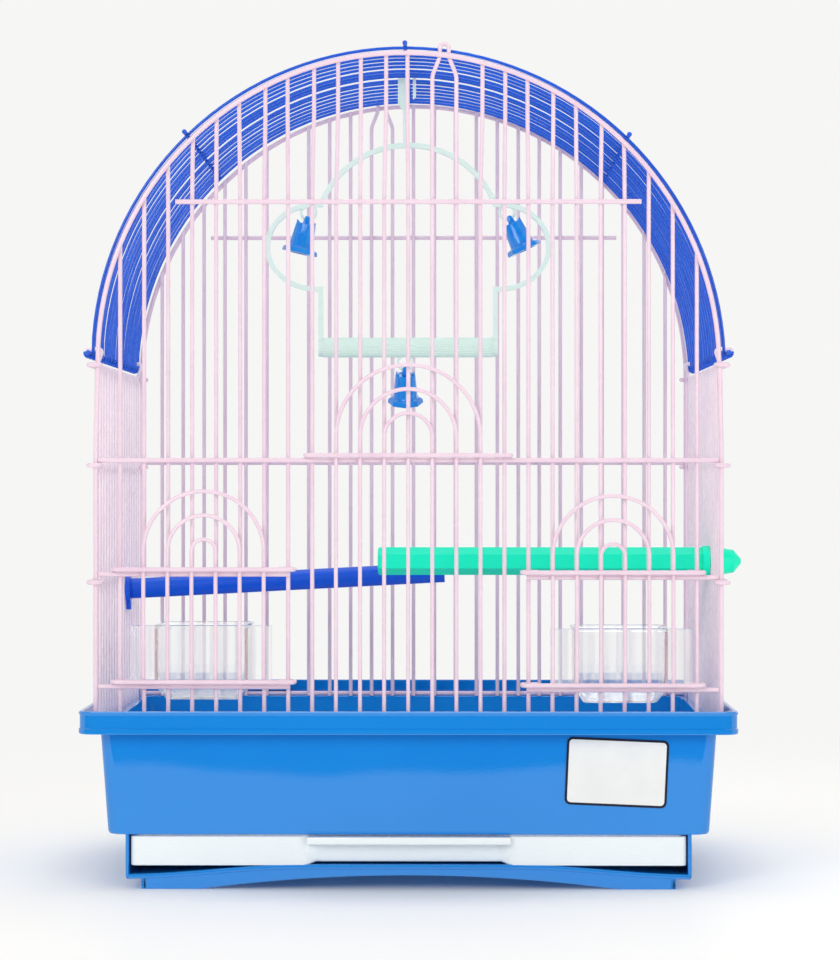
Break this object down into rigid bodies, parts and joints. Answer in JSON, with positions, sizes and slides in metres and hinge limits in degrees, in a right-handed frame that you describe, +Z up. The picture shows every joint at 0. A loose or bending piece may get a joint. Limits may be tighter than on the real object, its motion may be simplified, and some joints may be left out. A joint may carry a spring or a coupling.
{
  "type": "bird cage",
  "caption": "Arch-topped wire bird cage on a moulded base with a slide-out drawer, lift-up doors, clear feeder cups, perches and a swing with bells.",
  "frame": {"origin": "on the table, midway between the feet", "axes": "+Z up, +X to the right seen from the doors, the doors face -Y"},
  "size_m": [0.3238, 0.251, 0.4062],
  "materials": {
    "pink_wire": "gloss",
    "blue_wire": "gloss",
    "blue_base": "gloss",
    "white_drawer": "gloss",
    "label": "satin",
    "clear_cup": "clear",
    "mint_swing": "satin",
    "blue_bell": "gloss",
    "steel": "bright",
    "green_perch": "satin",
    "blue_perch": "gloss"
  },
  "bodies": {
    "cage": {"front_arch": "pink_wire", "front_hanger": "pink_wire", "front_rails": "pink_wire", "front_bars": "pink_wire", "rear_arch": "pink_wire", "rear_hanger": "pink_wire", "rear_rails": "pink_wire", "rear_bars": "pink_wire", "left_rails": "pink_wire", "right_rails": "pink_wire", "left_wires": "pink_wire", "right_wires": "pink_wire", "left_hooks": "pink_wire", "right_hooks": "pink_wire", "dome_wires": "blue_wire", "dome_stays": "blue_wire", "base_body": "blue_base", "drawer_guide": "blue_base", "label_plate": "label", "green_perch": "green_perch", "green_perch_knob": "green_perch", "blue_perch": "blue_perch", "blue_perch_knob": "blue_perch"},
    "drawer": {"drawer": "white_drawer"},
    "main_door": {"main_door_rails": "pink_wire", "main_door_wires": "pink_wire"},
    "left_door": {"left_door_rails": "pink_wire", "left_door_wires": "pink_wire"},
    "right_door": {"right_door_rails": "pink_wire", "right_door_wires": "pink_wire"},
    "swing": {"swing_frame": "mint_swing", "swing_perch": "mint_swing"},
    "left_bell": {"bell_left": "blue_bell", "clapper_left": "steel"},
    "right_bell": {"bell_right": "blue_bell", "clapper_right": "steel"},
    "low_bell": {"bell_low": "blue_bell", "clapper_low": "steel"},
    "left_cup": {"cup_left": "clear_cup"},
    "right_cup": {"cup_right": "clear_cup"}
  },
  "joints": [
    {"name": "drawer_slide", "type": "slide", "parent": "cage", "child": "drawer", "axis": [0, -1, 0], "range_m": [0, 0.18]},
    {"name": "main_door_slide", "type": "slide", "parent": "cage", "child": "main_door", "axis": [0, 0, 1], "range_m": [0, 0.118]},
    {"name": "left_door_slide", "type": "slide", "parent": "cage", "child": "left_door", "axis": [0, 0, 1], "range_m": [0, 0.048]},
    {"name": "right_door_slide", "type": "slide", "parent": "cage", "child": "right_door", "axis": [0, 0, 1], "range_m": [0, 0.048]},
    {"name": "swing_pivot", "type": "hinge", "parent": "cage", "child": "swing", "pos_m": [-0.0016, 0.0045, 0.40386], "axis": [0, 1, 0], "range_deg": [-20, 20]},
    {"name": "left_bell_pivot", "type": "hinge", "parent": "swing", "child": "left_bell", "pos_m": [-0.0526, 0.0045, 0.3329], "axis": [0, 1, 0], "range_deg": [-30, 8]},
    {"name": "right_bell_pivot", "type": "hinge", "parent": "swing", "child": "right_bell", "pos_m": [0.0492, 0.0045, 0.3329], "axis": [0, 1, 0], "range_deg": [-4, 40]},
    {"name": "low_bell_pivot", "type": "hinge", "parent": "swing", "child": "low_bell", "pos_m": [-0.003, 0.0045, 0.252], "axis": [1, 0, 0], "range_deg": [-35, 8]},
    {"name": "left_cup_lift", "type": "slide", "parent": "cage", "child": "left_cup", "axis": [0, 0, 1], "range_m": [0, 0.012]},
    {"name": "right_cup_lift", "type": "slide", "parent": "cage", "child": "right_cup", "axis": [0, 0, 1], "range_m": [0, 0.012]}
  ]
}
